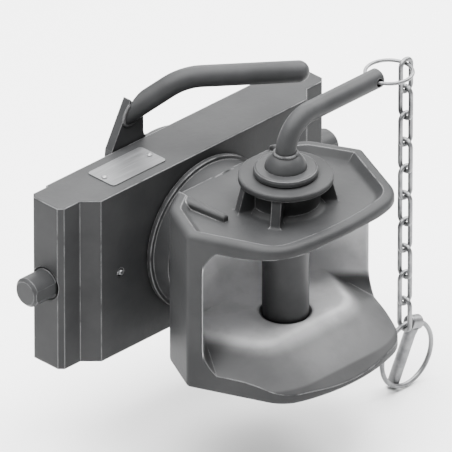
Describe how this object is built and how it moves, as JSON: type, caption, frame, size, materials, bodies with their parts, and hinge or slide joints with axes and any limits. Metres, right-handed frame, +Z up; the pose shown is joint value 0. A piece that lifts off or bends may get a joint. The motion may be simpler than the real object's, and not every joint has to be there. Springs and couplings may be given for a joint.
{
  "type": "trailer coupler",
  "caption": "Height-adjustable clevis coupling for a tractor hitch: a funnel jaw that turns on a slide plate, with a towing pin on a chain and a hand lever.",
  "frame": {"origin": "centre of the slide plate, where the lock pins' axis crosses the jaw's turning axis", "axes": "+X along the plate, to the right seen from the mouth; +Y rearwards; +Z up"},
  "size_m": [0.346, 0.266, 0.3095],
  "materials": {
    "painted_casting": "dark grey paint on cast steel",
    "painted_steel": "dark grey paint on smooth steel",
    "plate_metal": "dull brushed plate",
    "plain_steel": "machined steel",
    "zinc_steel": "dark zinc plated steel",
    "bronze": "dull bearing bronze",
    "lining": "dark friction lining"
  },
  "bodies": {
    "carrier": {"slide_plate": "painted_casting", "data_plate": "plate_metal", "data_plate_rivets": "plain_steel", "grease_nipples": "zinc_steel", "friction_disc": "lining", "front_bush": "bronze", "rear_bush": "bronze", "lever_spring": "zinc_steel"},
    "lever": {"lever_plate": "painted_steel", "lever_rod": "painted_steel"},
    "left_lock": {"left_lock_pin": "painted_steel", "left_follower": "plain_steel"},
    "right_lock": {"right_lock_pin": "painted_steel", "right_follower": "plain_steel"},
    "jaw": {"coupling_jaw": "painted_casting", "jaw_shank": "plain_steel", "upper_pin_bush": "plain_steel", "lower_pin_bush": "plain_steel", "thrust_washer": "plain_steel", "disc_springs": "plain_steel", "castle_nut": "zinc_steel", "cotter_pin": "zinc_steel"},
    "towing_pin": {"coupling_pin": "painted_steel", "pin_handle": "painted_steel"},
    "ring": {"handle_ring": "zinc_steel"},
    "link_01": {"chain_link_01": "zinc_steel"},
    "link_02": {"chain_link_02": "zinc_steel"},
    "link_03": {"chain_link_03": "zinc_steel"},
    "link_04": {"chain_link_04": "zinc_steel"},
    "link_05": {"chain_link_05": "zinc_steel"},
    "link_06": {"chain_link_06": "zinc_steel"},
    "link_07": {"chain_link_07": "zinc_steel"},
    "link_08": {"chain_link_08": "zinc_steel"},
    "link_09": {"chain_link_09": "zinc_steel"},
    "link_10": {"chain_link_10": "zinc_steel"},
    "bail": {"linch_bail": "zinc_steel"},
    "linch": {"linch_pin": "zinc_steel"}
  },
  "joints": [
    {"name": "jaw_turn", "type": "hinge", "parent": "carrier", "child": "jaw", "pos_m": [0, 0, 0], "axis": [0, 1, 0], "continuous": true},
    {"name": "coupling_pin_lift", "type": "slide", "parent": "jaw", "child": "towing_pin", "axis": [0, 0, 1], "range_m": [0, 0.142]},
    {"name": "lever_turn", "type": "hinge", "parent": "carrier", "child": "lever", "pos_m": [0, 0, 0], "axis": [0, -1, 0], "range_deg": [0, 20], "stiffness_Nm_per_rad": 4, "springref_deg": -20.05, "deforming": ["lever_spring"]},
    {"name": "left_lock_slide", "type": "slide", "parent": "carrier", "child": "left_lock", "axis": [1, 0, 0], "range_m": [0, 0.0241]},
    {"name": "right_lock_slide", "type": "slide", "parent": "carrier", "child": "right_lock", "axis": [-1, 0, 0], "range_m": [0, 0.0241]},
    {"name": "handle_ring_swing", "type": "hinge", "parent": "towing_pin", "child": "ring", "pos_m": [0.0978, -0.1215, 0.136], "axis": [0, 1, 0], "range_deg": [-60, 6]},
    {"name": "link_01_swing", "type": "hinge", "parent": "ring", "child": "link_01", "pos_m": [0.1363, -0.1215, 0.13765], "axis": [0, -1, 0], "range_deg": [-1.5, 15]},
    {"name": "link_02_swing", "type": "hinge", "parent": "link_01", "child": "link_02", "pos_m": [0.1363, -0.1215, 0.11305], "axis": [-1, 0, 0], "range_deg": [-3, 15]},
    {"name": "link_03_swing", "type": "hinge", "parent": "link_02", "child": "link_03", "pos_m": [0.1363, -0.1215, 0.08845], "axis": [0, -1, 0], "range_deg": [-1.5, 15]},
    {"name": "link_04_swing", "type": "hinge", "parent": "link_03", "child": "link_04", "pos_m": [0.1363, -0.1215, 0.06385], "axis": [-1, 0, 0], "range_deg": [-3, 15]},
    {"name": "link_05_swing", "type": "hinge", "parent": "link_04", "child": "link_05", "pos_m": [0.1363, -0.1215, 0.03925], "axis": [0, -1, 0], "range_deg": [-1.5, 15]},
    {"name": "link_06_swing", "type": "hinge", "parent": "link_05", "child": "link_06", "pos_m": [0.1363, -0.1215, 0.01465], "axis": [-1, 0, 0], "range_deg": [-3, 15]},
    {"name": "link_07_swing", "type": "hinge", "parent": "link_06", "child": "link_07", "pos_m": [0.1363, -0.1215, -0.00995], "axis": [0, -1, 0], "range_deg": [-1.5, 15]},
    {"name": "link_08_swing", "type": "hinge", "parent": "link_07", "child": "link_08", "pos_m": [0.1363, -0.1215, -0.03455], "axis": [-1, 0, 0], "range_deg": [-3, 15]},
    {"name": "link_09_swing", "type": "hinge", "parent": "link_08", "child": "link_09", "pos_m": [0.1363, -0.1215, -0.05915], "axis": [0, -1, 0], "range_deg": [-1.5, 15]},
    {"name": "link_10_swing", "type": "hinge", "parent": "link_09", "child": "link_10", "pos_m": [0.1363, -0.1215, -0.08375], "axis": [-1, 0, 0], "range_deg": [-3, 15]},
    {"name": "bail_swing", "type": "hinge", "parent": "link_10", "child": "bail", "pos_m": [0.1363, -0.1215, -0.10835], "axis": [0, -1, 0], "range_deg": [-10, 20]},
    {"name": "linch_pin_swing", "type": "hinge", "parent": "bail", "child": "linch", "pos_m": [0.1466, -0.1215, -0.10797], "axis": [0.9588, 0, -0.284], "range_deg": [0, 150]}
  ],
  "couplings": [
    {"joint": "left_lock_slide", "follows": "lever_turn", "m_per_rad": 0.068755},
    {"joint": "right_lock_slide", "follows": "lever_turn", "m_per_rad": 0.068755}
  ]
}
